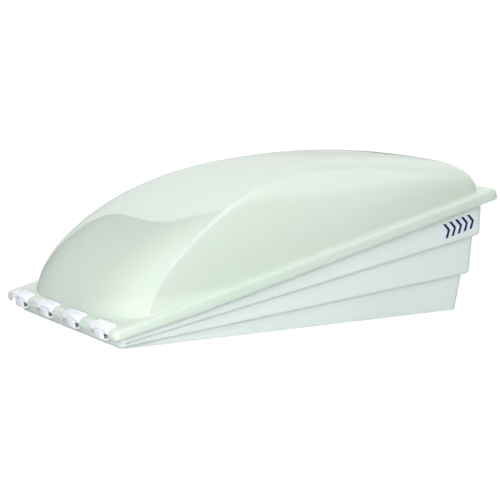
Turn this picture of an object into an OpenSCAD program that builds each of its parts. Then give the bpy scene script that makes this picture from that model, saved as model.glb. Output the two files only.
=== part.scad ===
// Roof vent cover for a camper: tiered wedge base, hinged frosted dome lid, rear air outlet.
// Origin: centre of the base's footprint on the roof. +X right, +Y rear (tall end), +Z up.
// Distances called "s" are measured rearwards from the base's front bottom edge.

/* [Base] */
// Width of the base on the roof
base_w = 456; // [440:1:480]
// Length of the base on the roof
base_l = 763; // [740:1:800]
// Wall thickness of the base
base_wall = 3; // [2.5:0.1:3.5]
// Corner radius of the tiers, seen from above
tier_corner_r = 12; // [8:1:16]

/* [Lid] */
// Width over the lid's rim
rim_w = 510; // [508:1:516]
// How far the rim reaches past the base's front bottom edge
rim_front_reach = 27; // [26:0.5:28]
// How far the rim reaches past the base's rear bottom edge
rim_rear_reach = 80; // [79:0.5:81]
// Height of the rim's top at the front
rim_front_h = 36; // [35:0.5:38]
// Height of the rim's top at the rear
rim_rear_h = 249; // [240:1:255]
// Depth of the turned-down rim
skirt_h = 22; // [20:0.5:23]
// Depth of the turned-down rim at the front
skirt_front_h = 16; // [15:0.5:17]
// Edge radius along the rim
rim_edge_r = 8; // [5:1:9]
// Wall thickness of the lid
lid_wall = 3; // [2.5:0.1:3]
// Half width of the dome at its foot
dome_half_w = 237; // [234:1:238]
// Height of the dome's top above the roof
dome_top_h = 317; // [300:1:330]

/* [Hinge] */
// Number of hinges along the front edge
hinge_count = 4; // [4:1:4]
// Width of one hinge clip
clip_w = 78; // [60:1:80]
// Distance between the centres of neighbouring clips
clip_pitch = 124; // [110:1:126]
// Radius of the hinge pin
pin_r = 1.5; // [1.5:0.1:1.8]

/* [Air outlet] */
// Width of the louvre openings
louvre_w = 392; // [300:1:396]
// Height of the insect screen
screen_h = 146; // [120:1:148]
// Half width of the insect screen
screen_half_w = 204; // [190:1:205]

/* [Fixing] */
// Distance between left and right screws in the vent's flange
flange_screw_x = 400; // [390:1:404]
// Distance between front and rear screws in the vent's flange
flange_screw_y = 400; // [300:1:420]
// Radius of the holes for those screws
flange_screw_r = 2.5; // [2:0.1:3]

/* [Hidden] */
$fn = 48;
eps = 0.2;

// Rim plane: the lid's flat flange lies in it, low at the front and high at the rear.
rim_front_s = -rim_front_reach;
rim_rear_s = base_l + rim_rear_reach;
rim_slope = (rim_rear_h - rim_front_h) / (rim_rear_s - rim_front_s);
rim_tilt = atan(rim_slope);
rim_half_w = rim_w / 2;
rim_corner_r = 14;
rim_draft = 0.3;

// The origin lies half way along the whole part, counting the skirt's lean at the rear
origin_s = (rim_front_s + rim_rear_s + skirt_h * sin(rim_tilt)) / 2;

// Stack below the rim plane, measured square to it
gasket_t = 3;
// How far each tier runs up into the next
tier_lap = 0.6;
base_flange_t = 3;
base_flange_top = -lid_wall - gasket_t;
base_flange_low = base_flange_top - base_flange_t;
skirt_gap = 2.5;
base_flange_half_w = rim_half_w - lid_wall - skirt_gap;
base_flange_front_s = -11;
base_flange_rear_s = rim_rear_s - lid_wall - skirt_gap;
base_flange_lip = 5;

// Tiers, bottom one first: [half width, front s, rear s] at the tier's foot and at its top
tier_foot = [
    [base_w / 2, 0, base_l],
    [base_w / 2 + 8, -3, base_l + 29],
    [base_w / 2 + 15.5, -6, base_l + 49]
];
tier_top = [
    [base_w / 2 + 3, -1, base_l + 16],
    [base_w / 2 + 10, -4, base_l + 37],
    [base_w / 2 + 15.5, -6, base_l + 52]
];
// Planes between the tiers fan out from the front: [height at s = 0, slope]
tier_plane = [[0, 0], [4, 0.089], [11.7, 0.1755], [0, rim_slope]];
side_wall_x = tier_foot[2][0];

// Dome formulas
dome_rear_s = base_l + 52;
dome_rear_corner_r = 28;
dome_end_l = 43;
dome_end_power = 2.6;
dome_end_root = 0.55;
arch_power_front = 2.5;
arch_power_rear = 3.6;
arch_change_s = 450;
arch_change_l = 330;
crown_s = 480;
crown_drop = 16;
front_slope_l = 620;
front_slope_root = 0.6;
bow_depth = 40;
bow_half_w = 225;
bow_power = 5;
bow_fade_l = 400;
dome_columns = 36;
dome_rows = 32;

// Hinge, in the rim plane's own frame: p runs up the slope, n stands square to it
hinge_p = -24.2;
hinge_n = -6.5;
hinge_s = hinge_p * cos(rim_tilt) - hinge_n * sin(rim_tilt);
hinge_z = rim_front_h - rim_slope * rim_front_s + hinge_p * sin(rim_tilt) + hinge_n * cos(rim_tilt);
arm_low_z = 14;
barrel_r = 3.4;
pin_gap = 0.05;
knuckle_gap = 0.4;
base_knuckle_w = 36;
clip_t = 2.2;
clip_rear_p = -5;
ridge_r = 2.6;
hinge_notch_w = clip_w + 5;
hinge_notch_p = -17.5;

// Latch knobs
latch_x = 150;
latch_p = (base_l + 66) / cos(rim_tilt);
stud_r = 3;
stud_gap = 0.06;
stud_low = -14;
insert_bore_r = 3.45;
insert_r = 5;
insert_low = -15;
washer_t = 1;
knob_r = 8;
knob_h = 11;
wing_reach = 10;
wing_r = 2.2;

// Air outlet
louvre_t = 2.4;
louvre_border = 7;
louvre_h = 38;
slat_count = 4;
louvre_screw_x = [-louvre_w / 2 + 40, 0, louvre_w / 2 - 40];
upper_louvre_z = 188;
lower_louvre_z = 114;
screen_s = base_l + 18;
screen_t = 6;
screen_low = 79;
screen_bar = 12;
track_x = screen_half_w + 3;
track_top_z = 146;
track_low_z = 78;
track_gap = base_wall + 0.5;

// Brackets
bracket_l = 36;
bracket_t = 2;
bracket_h = 26;
bracket_face_x = base_w / 2 - 11.05;
boss_r = 9;
boss_l = 10;
bracket_insert_r = 4;
bracket_insert_l = 7;
bracket_centre_s = 530;
bracket_bolt_z = 15;
bracket_foot_z = 3;
bolt_r = 2.5;
bolt_hole_r = 2.8;

function rim_z(s) = rim_front_h + rim_slope * (s - rim_front_s);
function level_z(k, s) = k == 3
    ? rim_z(s) + base_flange_low / cos(rim_tilt)
    : tier_plane[k][0] + tier_plane[k][1] * s;
// Rear wall of tier k: its lean, and its outer face's s at height z
function wall_lean(k) = atan((tier_top[k][2] - tier_foot[k][2])
    / (level_z(k + 1, tier_top[k][2]) - level_z(k, tier_foot[k][2])));
function wall_s(k, z) = tier_foot[k][2] + (z - level_z(k, tier_foot[k][2])) * tan(wall_lean(k));
function clip_x(i) = (i - (hinge_count - 1) / 2) * clip_pitch;
function y_of(s) = s - origin_s;
// Distance up the rim plane to s, to a tenth of a millimetre
function along_rim(s) = round(10 * s / cos(rim_tilt)) / 10;

// ---- helpers ----

// Flat rounded rectangle from y0 to y1
module round_plate(half_w, y0, y1, r) {
    translate([-half_w + r, y0]) square([2 * (half_w - r), y1 - y0]);
    translate([-half_w, y0 + r]) square([2 * half_w, y1 - y0 - 2 * r]);
    for (x = [-half_w + r, half_w - r], y = [y0 + r, y1 - r])
        translate([x, y]) circle(r);
}

// Puts children drawn in (x, p, n) on the rim plane
module on_rim() {
    translate([0, y_of(0), rim_z(0)]) rotate([rim_tilt, 0, 0]) children();
}

// Profile drawn in (p, n), extruded along X about x
module rim_profile(x, w) {
    on_rim() translate([x - w / 2, 0, 0]) rotate([90, 0, 90]) linear_extrude(w) children();
}

// Thin plate on the plane z = z0 + slope * s, outline [half width, front s, rear s] drawn in by inset
module plane_plate(outline, z0, slope, inset) {
    multmatrix([[1, 0, 0, 0], [0, 1, 0, y_of(0)], [0, slope, 1, z0], [0, 0, 0, 1]])
        linear_extrude(eps)
            round_plate(outline[0] - inset, outline[1] + inset, outline[2] - inset,
                        tier_corner_r - inset, $fn = 32);
}

// One tier between planes k and k + 1; lift raises both planes
module tier(k, inset, lift_low, lift_high) {
    hull() {
        plane_plate(tier_foot[k], level_z(k, 0) + lift_low, tier_plane[k][1], inset);
        plane_plate(tier_top[k], level_z(k + 1, 0) + lift_high, tier_plane[k + 1][1], inset);
    }
}

module both_sides() {
    children();
    mirror([1, 0, 0]) children();
}

// Hexagonal prism
module hexagon(across, h) {
    cylinder(r = across / 2 / cos(30), h = h, $fn = 6);
}

// ---- base ----

module base_flange() {
    on_rim() translate([0, 0, base_flange_low]) linear_extrude(base_flange_t) difference() {
        round_plate(base_flange_half_w, along_rim(base_flange_front_s), along_rim(base_flange_rear_s),
                    rim_corner_r - lid_wall - skirt_gap);
        round_plate(side_wall_x - base_flange_lip, along_rim(tier_foot[2][1] + base_flange_lip),
                    along_rim(tier_top[2][2] - base_flange_lip), tier_corner_r - base_flange_lip);
    }
}

// Frame on tier k's rear wall at height z, leaning with the wall, +Y outwards
module on_rear_wall(k, z) {
    translate([0, y_of(wall_s(k, z)), z]) rotate([-wall_lean(k), 0, 0]) children();
}

module on_upper_wall() {
    on_rear_wall(2, upper_louvre_z) children();
}

module on_lower_wall() {
    on_rear_wall(1, lower_louvre_z) children();
}

module louvre_cut() {
    translate([-louvre_w / 2, -12, -louvre_h / 2]) cube([louvre_w, 24, louvre_h]);
    louvre_screw_places() rotate([90, 0, 0]) cylinder(r = 1.3, h = 24, center = true);
}

module louvre_screw_places() {
    for (x = louvre_screw_x, side = [-1, 1])
        translate([x, 0, side * (louvre_h + louvre_border) / 2]) children();
}

module track_screw_places() {
    for (x = [-track_x - 5, track_x + 5], z = [-16, 16])
        on_lower_wall() translate([x, 0, z]) rotate([-90, 0, 0]) children();
}

// Axis of each bracket's screw, local X pointing out of the base, from the bracket's outer face
module bracket_places() {
    for (x = [-1, 1], s = [-1, 1])
        translate([x * bracket_face_x, y_of(bracket_centre_s) + s * flange_screw_y / 2, bracket_bolt_z])
            mirror([x < 0 ? 1 : 0, 0, 0]) children();
}

module base_shell() {
    color("whitesmoke") difference() {
        union() {
            tier(0, 0, 0, tier_lap);
            tier(1, 0, 0, tier_lap);
            tier(2, 0, 0, base_flange_t / 2);
            base_flange();
        }
        difference() {
            union() {
                tier(0, base_wall, -1, base_wall + tier_lap);
                tier(1, base_wall, base_wall, base_wall + tier_lap);
                tier(2, base_wall, base_wall, 3 * base_flange_t);
            }
            bracket_places() translate([0.05, 0, 0]) rotate([0, 90, 0]) cylinder(r = boss_r, h = boss_l);
        }
        on_upper_wall() louvre_cut();
        on_lower_wall() louvre_cut();
        track_screw_places() cylinder(r = 2.1, h = 40, center = true);
        bracket_places() rotate([0, 90, 0]) cylinder(r = bracket_insert_r + 0.05, h = bracket_insert_l + 0.3);
        latch_places() translate([0, 0, insert_low]) cylinder(r = insert_r + 0.05, h = 12);
    }
}

module rim_gasket() {
    color("dimgray") on_rim() translate([0, 0, base_flange_top + 0.1]) linear_extrude(gasket_t - 0.2)
        difference() {
            round_plate(side_wall_x + 1, along_rim(-10), along_rim(base_l + 61), 8);
            round_plate(side_wall_x - 4, along_rim(-2), along_rim(base_l + 53), 4);
        }
}

module latch_inserts() {
    color("goldenrod") latch_places() difference() {
        translate([0, 0, insert_low]) cylinder(r = insert_r, h = base_flange_top - insert_low);
        translate([0, 0, insert_low - 1]) cylinder(r = insert_bore_r, h = 20);
    }
}

// ---- hinges ----

// Profile drawn in (s, z), extruded along X about x
module side_profile(x, w) {
    translate([x - w / 2, y_of(0), 0]) rotate([90, 0, 90]) linear_extrude(w) children();
}

// Lower leaf: middle knuckle, arm down past the rim and pad on the base's front wall
module hinge_base_leaf(i) {
    wall_s = tier_foot[2][1] - 0.15;
    color("white") difference() {
        side_profile(clip_x(i), base_knuckle_w) {
            translate([hinge_s, hinge_z]) circle(barrel_r);
            polygon([
                [hinge_s - barrel_r + 0.1, hinge_z], [hinge_s - 2.2, arm_low_z + 3], [hinge_s, arm_low_z],
                [wall_s, arm_low_z], [wall_s, arm_low_z + 14.5], [wall_s - 2.4, arm_low_z + 14.5],
                [wall_s - 2.4, arm_low_z + 3], [hinge_s + 1.4, arm_low_z + 3],
                [hinge_s + 0.6, arm_low_z + 5], [hinge_s, hinge_z - 2]
            ]);
        }
        hinge_bore(i);
    }
}

module hinge_bore(i) {
    rim_profile(clip_x(i), clip_w + 2) translate([hinge_p, hinge_n]) circle(pin_r + pin_gap);
}

// Upper clip: plate on the lid's flange, raised ridge with a slit, two knuckles over the front edge
module hinge_lid_leaf(i) {
    front_p = hinge_p - barrel_r - 0.3;
    end_w = (clip_w - base_knuckle_w) / 2 - knuckle_gap;
    color("white") difference() {
        union() {
            rim_profile(clip_x(i), clip_w)
                polygon([
                    [front_p, -1], [front_p, clip_t - 1], [front_p + 1, clip_t], [clip_rear_p, clip_t],
                    [clip_rear_p, 0.05], [hinge_p + 6.4, 0.05], [hinge_p + 6.4, -1]
                ]);
            rim_profile(clip_x(i), clip_w - 10)
                translate([clip_rear_p - ridge_r, clip_t - 0.2]) circle(ridge_r);
            for (side = [-1, 1]) rim_profile(clip_x(i) + side * (clip_w - end_w) / 2, end_w) {
                translate([hinge_p, hinge_n]) circle(barrel_r);
                polygon([
                    [hinge_p - barrel_r, hinge_n], [front_p, -1], [front_p, 0], [hinge_p + 3, 0],
                    [hinge_p + barrel_r, hinge_n]
                ]);
            }
        }
        rim_profile(clip_x(i), clip_w - 20) translate([clip_rear_p - 2 * ridge_r - 1.2, clip_t - 0.8])
            square([1.2, 2]);
        rim_profile(clip_x(i), clip_w + 2) translate([clip_rear_p - 6, -6]) square([20, 6.05]);
        hinge_bore(i);
    }
}

module hinge_pins() {
    color("silver") for (i = [0 : hinge_count - 1])
        rim_profile(clip_x(i), clip_w) translate([hinge_p, hinge_n]) circle(pin_r);
}

// ---- lid ----

// Height of the dome's front slope at a distance u behind its bowed foot, which lies bowed by b
function slope_z(u, b) = let (t = min(1, max(0, u / front_slope_l)), foot = rim_z(b * max(0, 1 - u / 250)))
    foot + (dome_top_h - 1.5 - foot) * pow(1 - pow(1 - t, 2), front_slope_root);
function bow(x) = bow_depth * pow(abs(x) / bow_half_w, bow_power);
function arch_power(s) = let (t = min(1, max(0, (s - arch_change_s) / arch_change_l)))
    arch_power_front + (arch_power_rear - arch_power_front) * t * t * (3 - 2 * t);
function crown_z(s) = dome_top_h - crown_drop * pow(max(0, s - crown_s) / 300, 2);
function end_fade(s, rear) = let (t = min(1, max(0, (s - rear + dome_end_l) / dome_end_l)))
    pow(max(0, 1 - pow(t, dome_end_power)), dome_end_root);
function dome_half(s, half_w, rear) = let (d = max(0, s - rear + dome_rear_corner_r))
    half_w - dome_rear_corner_r + sqrt(max(0, dome_rear_corner_r * dome_rear_corner_r - d * d));
function arch_z(x, s, inset) = let (
        rear = dome_rear_s - inset,
        half = dome_half(s, dome_half_w - inset, rear),
        top = (crown_z(s) - inset - rim_z(s)) * end_fade(s, rear),
        power = arch_power(s)
    ) rim_z(s) + top * pow(max(0, 1 - pow(min(1, abs(x) / half), power)), 1 / power);

// Point of the dome's skin: a and b run from 0 to 1 across and along it
function dome_point(a, b, inset) = let (
        angle = 180 * a - 90,
        run = inset + (dome_rear_s - 2 * inset) * (1 - cos(180 * b)) / 2,
        x = sign(angle) * pow(abs(sin(angle)), 0.8)
            * dome_half(run, dome_half_w - inset, dome_rear_s - inset),
        s = run + bow(x) * pow(max(0, 1 - run / bow_fade_l), 2),
        foot = a < 0.001 || a > 0.999 || b < 0.001 || b > 0.999,
        low = rim_z(s) - lid_wall / 2,
        z = min(arch_z(x, s, inset), slope_z(s - bow(x) - inset, bow(x)) - 0.6 * inset)
    ) [x, y_of(s), foot ? low : max(low + 0.2, z)];

// Foot line of the dome as points [x, p] in the rim plane
function foot_point(a, b, inset) = let (q = dome_point(a, b, inset)) [q[0], (q[1] + origin_s) / cos(rim_tilt)];
function foot_line(inset) = concat(
    [for (i = [0 : dome_columns - 1]) foot_point(i / dome_columns, 0, inset)],
    [for (j = [0 : dome_rows - 1]) foot_point(1, j / dome_rows, inset)],
    [for (i = [dome_columns : -1 : 1]) foot_point(i / dome_columns, 1, inset)],
    [for (j = [dome_rows : -1 : 1]) foot_point(0, j / dome_rows, inset)]
);

module dome() {
    nx = dome_columns + 1;
    ny = dome_rows + 1;
    skin = [for (inset = [0, lid_wall], j = [0 : dome_rows], i = [0 : dome_columns])
        dome_point(i / dome_columns, j / dome_rows, inset)];
    function at(layer, i, j) = layer * nx * ny + j * nx + i;
    outer = [for (j = [0 : dome_rows - 1], i = [0 : dome_columns - 1], half = [0, 1])
        half == 0 ? [at(0, i, j), at(0, i, j + 1), at(0, i + 1, j + 1)]
                  : [at(0, i, j), at(0, i + 1, j + 1), at(0, i + 1, j)]];
    inner = [for (j = [0 : dome_rows - 1], i = [0 : dome_columns - 1], half = [0, 1])
        half == 0 ? [at(1, i, j), at(1, i + 1, j + 1), at(1, i, j + 1)]
                  : [at(1, i, j), at(1, i + 1, j), at(1, i + 1, j + 1)]];
    ends = [for (i = [0 : dome_columns - 1], j = [0, dome_rows], half = [0, 1])
        j == 0 ? (half == 0 ? [at(0, i, j), at(0, i + 1, j), at(1, i + 1, j)]
                            : [at(0, i, j), at(1, i + 1, j), at(1, i, j)])
               : (half == 0 ? [at(0, i, j), at(1, i + 1, j), at(0, i + 1, j)]
                            : [at(0, i, j), at(1, i, j), at(1, i + 1, j)])];
    sides = [for (j = [0 : dome_rows - 1], i = [0, dome_columns], half = [0, 1])
        i == 0 ? (half == 0 ? [at(0, i, j), at(1, i, j + 1), at(0, i, j + 1)]
                            : [at(0, i, j), at(1, i, j), at(1, i, j + 1)])
               : (half == 0 ? [at(0, i, j), at(0, i, j + 1), at(1, i, j + 1)]
                            : [at(0, i, j), at(1, i, j + 1), at(1, i, j)])];
    polyhedron(skin, concat(outer, inner, ends, sides));
}

// Solid block with a rounded top edge and slightly flared sides, drawn in by inset
module rim_form(inset, depth) {
    on_rim() hull() {
        for (k = [0 : 4]) {
            a = 22.5 * k;
            rim_slice(inset + rim_edge_r * (1 - sin(a)), -inset - rim_edge_r * (1 - cos(a)));
        }
        rim_slice(inset - rim_draft, -depth);
    }
}

module rim_slice(inset, n) {
    translate([0, 0, n - eps]) linear_extrude(eps)
        round_plate(rim_half_w - inset, along_rim(rim_front_s) + inset, along_rim(rim_rear_s) - inset,
                    max(rim_corner_r - inset, 2), $fn = 32);
}

module latch_places() {
    for (x = [-latch_x, latch_x]) on_rim() translate([x, latch_p, 0]) children();
}

module rim_tray() {
    front_cut_tilt = -atan((skirt_h - skirt_front_h) / 180);
    difference() {
        rim_form(0, skirt_h);
        rim_form(lid_wall, skirt_h + 1);
        on_rim() translate([0, 0, -lid_wall - 1]) linear_extrude(lid_wall + 2)
            polygon(foot_line(lid_wall + 1));
        on_rim() translate([-rim_half_w - 5, rim_front_s - 5, -skirt_front_h]) rotate([front_cut_tilt, 0, 0])
            translate([0, -5, -20]) cube([rim_w + 10, 400, 20]);
        for (i = [0 : hinge_count - 1])
            on_rim() translate([clip_x(i) - hinge_notch_w / 2, rim_front_s - 5, -skirt_h - 1])
                cube([hinge_notch_w, hinge_notch_p - rim_front_s + 5, skirt_h + 2]);
        latch_places() cylinder(r = stud_r + stud_gap, h = 20, center = true);
    }
}

module lid_shell() {
    color([0.87, 0.93, 0.89, 0.75]) union() {
        rim_tray();
        dome();
    }
}

// ---- latch knobs ----

module knob_washers() {
    color("dimgray") latch_places() translate([0, 0, 0.05]) difference() {
        cylinder(r = 7, h = washer_t);
        translate([0, 0, -1]) cylinder(r = stud_r + 0.2, h = 4);
    }
}

module latch_knob(x) {
    color("white") on_rim() translate([x, latch_p, 0]) {
        translate([0, 0, stud_low]) cylinder(r = stud_r, h = 2 - stud_low);
        translate([0, 0, washer_t + 0.15]) cylinder(r = knob_r, h = knob_h);
        translate([-wing_reach, -wing_r, washer_t + 3]) cube([2 * wing_reach, 2 * wing_r, knob_h - 1]);
        for (side = [-wing_reach, wing_reach]) translate([side, 0, washer_t + 3])
            cylinder(r = wing_r, h = knob_h - 1);
    }
}

module knob_retainer(x) {
    color("silver") on_rim() translate([x, latch_p, -lid_wall - 1.3]) difference() {
        cylinder(r = 4.6, h = 1);
        translate([0, 0, -1]) cylinder(r = stud_r + 0.02, h = 3);
    }
}

// ---- air outlet ----

module louvre_panel() {
    slat_pitch = louvre_h / slat_count;
    difference() {
        union() {
            difference() {
                translate([-louvre_w / 2 - louvre_border, 0.15, -louvre_h / 2 - louvre_border])
                    cube([louvre_w + 2 * louvre_border, louvre_t, louvre_h + 2 * louvre_border]);
                translate([-louvre_w / 2 + 3, -5, -louvre_h / 2 + 3])
                    cube([louvre_w - 6, 20, louvre_h - 6]);
            }
            for (k = [0 : slat_count - 1])
                translate([-louvre_w / 2 + 2, 0, (k + 0.5) * slat_pitch - louvre_h / 2])
                    rotate([-35, 0, 0]) translate([0, -7, -0.9]) cube([louvre_w - 4, 13, 1.8]);
            for (x = [-louvre_w / 2 + 1, -1.2, louvre_w / 2 - 3.4])
                translate([x, -5, -louvre_h / 2 + 1]) cube([2.4, 7, louvre_h - 2]);
        }
        louvre_screw_places() rotate([90, 0, 0]) cylinder(r = 1.7, h = 24, center = true);
    }
}

module louvre_panel_upper() {
    color("white") on_upper_wall() louvre_panel();
}

module louvre_panel_lower() {
    color("white") on_lower_wall() louvre_panel();
}

module louvre_screw() {
    rotate([-90, 0, 0]) {
        translate([0, 0, louvre_t + 0.2]) cylinder(r = 3, h = 1.8);
        translate([0, 0, -8]) cylinder(r = 1.25, h = 11);
    }
}

module louvre_screws() {
    color("silver") {
        on_upper_wall() louvre_screw_places() louvre_screw();
        on_lower_wall() louvre_screw_places() louvre_screw();
    }
}

// Guide block: its back follows the rear wall's lean and its slot stands upright
module screen_track() {
    slot_s = screen_s - screen_t / 2 - 0.4;
    difference() {
        translate([track_x - 9, 0, 0]) rotate([90, 0, 90]) linear_extrude(22) polygon([
            [y_of(slot_s - 3), track_low_z], [y_of(wall_s(1, track_low_z) - track_gap), track_low_z],
            [y_of(wall_s(1, track_top_z) - track_gap), track_top_z],
            [y_of(slot_s - 3), track_top_z]
        ]);
        translate([track_x - 10, y_of(slot_s), track_low_z - 1]) cube([7.5, screen_t + 0.8, 100]);
    }
}

module screen_tracks() {
    color("white") difference() {
        both_sides() screen_track();
        track_screw_places() cylinder(r = 1.6, h = 40, center = true);
    }
}

module track_screws() {
    color("silver") track_screw_places() {
        translate([0, 0, -11]) cylinder(r = 1.55, h = 12);
        translate([0, 0, 0.3]) cylinder(r = 3.2, h = 2);
    }
}

module screen_frame() {
    color("white") translate([0, y_of(screen_s), screen_low]) {
        difference() {
            translate([-screen_half_w, -screen_t / 2, 0]) cube([2 * screen_half_w, screen_t, screen_h]);
            for (side = [0, 1]) mirror([side, 0, 0])
                translate([screen_bar / 2, -screen_t, screen_bar])
                    cube([screen_half_w - 1.5 * screen_bar, 2 * screen_t, screen_h - 2 * screen_bar]);
        }
        for (x = [-110, 110]) translate([x - 18, -screen_t / 2 - 9, screen_h - 3]) cube([36, 10, 3]);
    }
}

module screen_mesh() {
    color("slategray") for (side = [0, 1]) mirror([side, 0, 0])
        translate([screen_bar / 2 + 0.1, y_of(screen_s) - 0.4, screen_low + screen_bar + 0.1])
            cube([screen_half_w - 1.5 * screen_bar - 0.2, 0.8, screen_h - 2 * screen_bar - 0.2]);
}

// ---- fixing ----

// Angle with its upright against the base's side wall and its foot on the vent's flange
module mount_bracket(side_x, side_y) {
    foot_l = bracket_face_x - flange_screw_x / 2 + 9;
    color("silver")
        translate([0, y_of(bracket_centre_s) + side_y * flange_screw_y / 2, 0])
            mirror([side_x < 0 ? 1 : 0, 0, 0]) difference() {
                translate([bracket_face_x, -bracket_l / 2, bracket_foot_z]) {
                    translate([-bracket_t, 0, 0]) cube([bracket_t, bracket_l, bracket_h]);
                    translate([-foot_l, 0, 0]) cube([foot_l, bracket_l, bracket_t]);
                }
                translate([flange_screw_x / 2, 0, 0]) cylinder(r = flange_screw_r, h = 10);
                translate([bracket_face_x, 0, bracket_bolt_z]) rotate([0, 90, 0])
                    cylinder(r = bolt_hole_r, h = 10, center = true);
            }
}

module bracket_bolts() {
    color("silver") bracket_places() rotate([0, 90, 0]) {
        translate([0, 0, -bracket_t - 1.25]) cylinder(r = bolt_r, h = 9);
        translate([0, 0, -bracket_t - 4.4]) hexagon(8, 3.2);
    }
}

module bracket_washers() {
    color("silver") bracket_places() rotate([0, 90, 0]) translate([0, 0, -bracket_t - 1.1]) difference() {
        cylinder(r = 5, h = 1);
        translate([0, 0, -1]) cylinder(r = bolt_r + 0.1, h = 4);
    }
}

module bracket_inserts() {
    color("goldenrod") bracket_places() rotate([0, 90, 0]) translate([0, 0, 0.1]) difference() {
        cylinder(r = bracket_insert_r, h = bracket_insert_l);
        translate([0, 0, -1]) cylinder(r = bolt_r + 0.05, h = bracket_insert_l + 2);
    }
}

// ---- decals ----

// Row of plain chevrons that follows the rim's slope
module side_decal(side_x) {
    chevron = 15;
    band = 6;
    color("midnightblue") mirror([side_x < 0 ? 1 : 0, 0, 0])
        translate([side_wall_x + 0.02, y_of(base_l - 14), 174]) rotate([rim_tilt, 0, 0])
            rotate([90, 0, 90]) linear_extrude(0.4)
                for (k = [-2 : 2]) translate([k * 2 * band * 1.3, 0])
                    polygon([
                        [-band / 2, chevron], [band / 2, chevron], [band / 2 + 9, 0],
                        [band / 2, -chevron], [-band / 2, -chevron], [9 - band / 2, 0]
                    ]);
}

base_shell();
rim_gasket();
hinge_base_leaf(0);  // hinge_base_leaf_1
hinge_base_leaf(1);  // hinge_base_leaf_2
hinge_base_leaf(2);  // hinge_base_leaf_3
hinge_base_leaf(3);  // hinge_base_leaf_4
hinge_pins();
louvre_panel_upper();
louvre_panel_lower();
louvre_screws();
screen_tracks();
track_screws();
mount_bracket(-1, -1);  // mount_bracket_front_left
mount_bracket(1, -1);  // mount_bracket_front_right
mount_bracket(-1, 1);  // mount_bracket_rear_left
mount_bracket(1, 1);  // mount_bracket_rear_right
bracket_bolts();
bracket_washers();
bracket_inserts();
latch_inserts();
side_decal(-1);  // side_decal_left
side_decal(1);  // side_decal_right
lid_shell();
hinge_lid_leaf(0);  // hinge_lid_leaf_1
hinge_lid_leaf(1);  // hinge_lid_leaf_2
hinge_lid_leaf(2);  // hinge_lid_leaf_3
hinge_lid_leaf(3);  // hinge_lid_leaf_4
knob_washers();
latch_knob(-latch_x);  // latch_knob_left
latch_knob(latch_x);  // latch_knob_right
knob_retainer(-latch_x);  // knob_retainer_left
knob_retainer(latch_x);  // knob_retainer_right
screen_frame();
screen_mesh();
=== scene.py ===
"""Looks of a roof vent cover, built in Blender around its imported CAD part.

Lengths are in millimetres until a mesh is made. s runs rearward from the base's front bottom edge,
and (x, p, n) is the rim plane's own frame: p runs up its slope and n stands square to it.
"""

import math

import bmesh
import bpy
import numpy as np
from mathutils import Matrix, Vector

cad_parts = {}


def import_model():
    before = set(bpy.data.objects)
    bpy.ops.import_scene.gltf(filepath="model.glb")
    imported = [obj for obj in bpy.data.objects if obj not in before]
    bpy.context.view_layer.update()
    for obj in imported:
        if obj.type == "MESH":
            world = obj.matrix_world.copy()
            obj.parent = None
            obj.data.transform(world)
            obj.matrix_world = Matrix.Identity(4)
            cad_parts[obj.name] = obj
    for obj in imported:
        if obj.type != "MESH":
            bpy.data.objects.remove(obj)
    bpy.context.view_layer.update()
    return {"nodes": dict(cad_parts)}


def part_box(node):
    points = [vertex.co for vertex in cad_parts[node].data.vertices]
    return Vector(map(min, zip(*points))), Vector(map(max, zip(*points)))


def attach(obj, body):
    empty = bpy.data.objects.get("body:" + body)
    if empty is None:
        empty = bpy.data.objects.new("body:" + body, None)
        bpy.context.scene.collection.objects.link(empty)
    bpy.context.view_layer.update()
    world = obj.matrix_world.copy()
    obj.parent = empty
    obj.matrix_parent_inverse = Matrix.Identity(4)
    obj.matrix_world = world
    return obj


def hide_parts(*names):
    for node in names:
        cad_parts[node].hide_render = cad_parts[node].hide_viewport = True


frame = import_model()

MM = 0.001

# ---- driving sizes, the CAD part's own except where a comment says otherwise ----

BASE_HALF_W = 228.0
BASE_L = 763.0
WALL = 3.0
RIM_HALF_W = 255.0
RIM_FRONT_S = -27.0
RIM_REAR_S = BASE_L + 80.0
RIM_FRONT_H = 36.0
RIM_REAR_H = 249.0
RIM_CORNER_R = 14.0
RIM_EDGE_R = 8.0
RIM_DRAFT = 0.3
SKIRT_H = 22.0
SKIRT_FRONT_H = 16.0
SKIRT_DEEPENS_OVER = 180.0
SKIRT_GAP = 2.5
FLANGE_LOW = -9.0
FLANGE_TOP = -6.0
FLANGE_LIP = 5.0
FLANGE_HALF_W = RIM_HALF_W - WALL - SKIRT_GAP
FLANGE_FRONT_S = -11.0
FLANGE_REAR_S = RIM_REAR_S - WALL - SKIRT_GAP

# Rim plane, and the origin half way along the whole part
RIM_SLOPE = (RIM_REAR_H - RIM_FRONT_H) / (RIM_REAR_S - RIM_FRONT_S)
RIM_TILT = math.atan(RIM_SLOPE)
COS_TILT = math.cos(RIM_TILT)
SIN_TILT = math.sin(RIM_TILT)
RIM_Z0 = RIM_FRONT_H - RIM_SLOPE * RIM_FRONT_S
RIM_FRONT_P = RIM_FRONT_S / COS_TILT
ORIGIN_S = (RIM_FRONT_S + RIM_REAR_S + SKIRT_H * SIN_TILT) / 2

# Tiers, bottom one first: [half width, front s, rear s] at the tier's foot and at its top. The two lower
# tops are 2 to 2.5 mm narrower than the CAD's, so that the ledges cast their soft shade
TIER_CORNER_R = 12.0
TIER_FOOT = [
    [BASE_HALF_W, 0.0, BASE_L],
    [BASE_HALF_W + 8.0, -3.0, BASE_L + 29.0],
    [BASE_HALF_W + 15.5, -6.0, BASE_L + 49.0],
]
TIER_TOP = [
    [BASE_HALF_W + 0.5, -1.0, BASE_L + 16.0],
    [BASE_HALF_W + 8.0, -4.0, BASE_L + 37.0],
    [BASE_HALF_W + 15.5, -6.0, BASE_L + 52.0],
]
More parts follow.
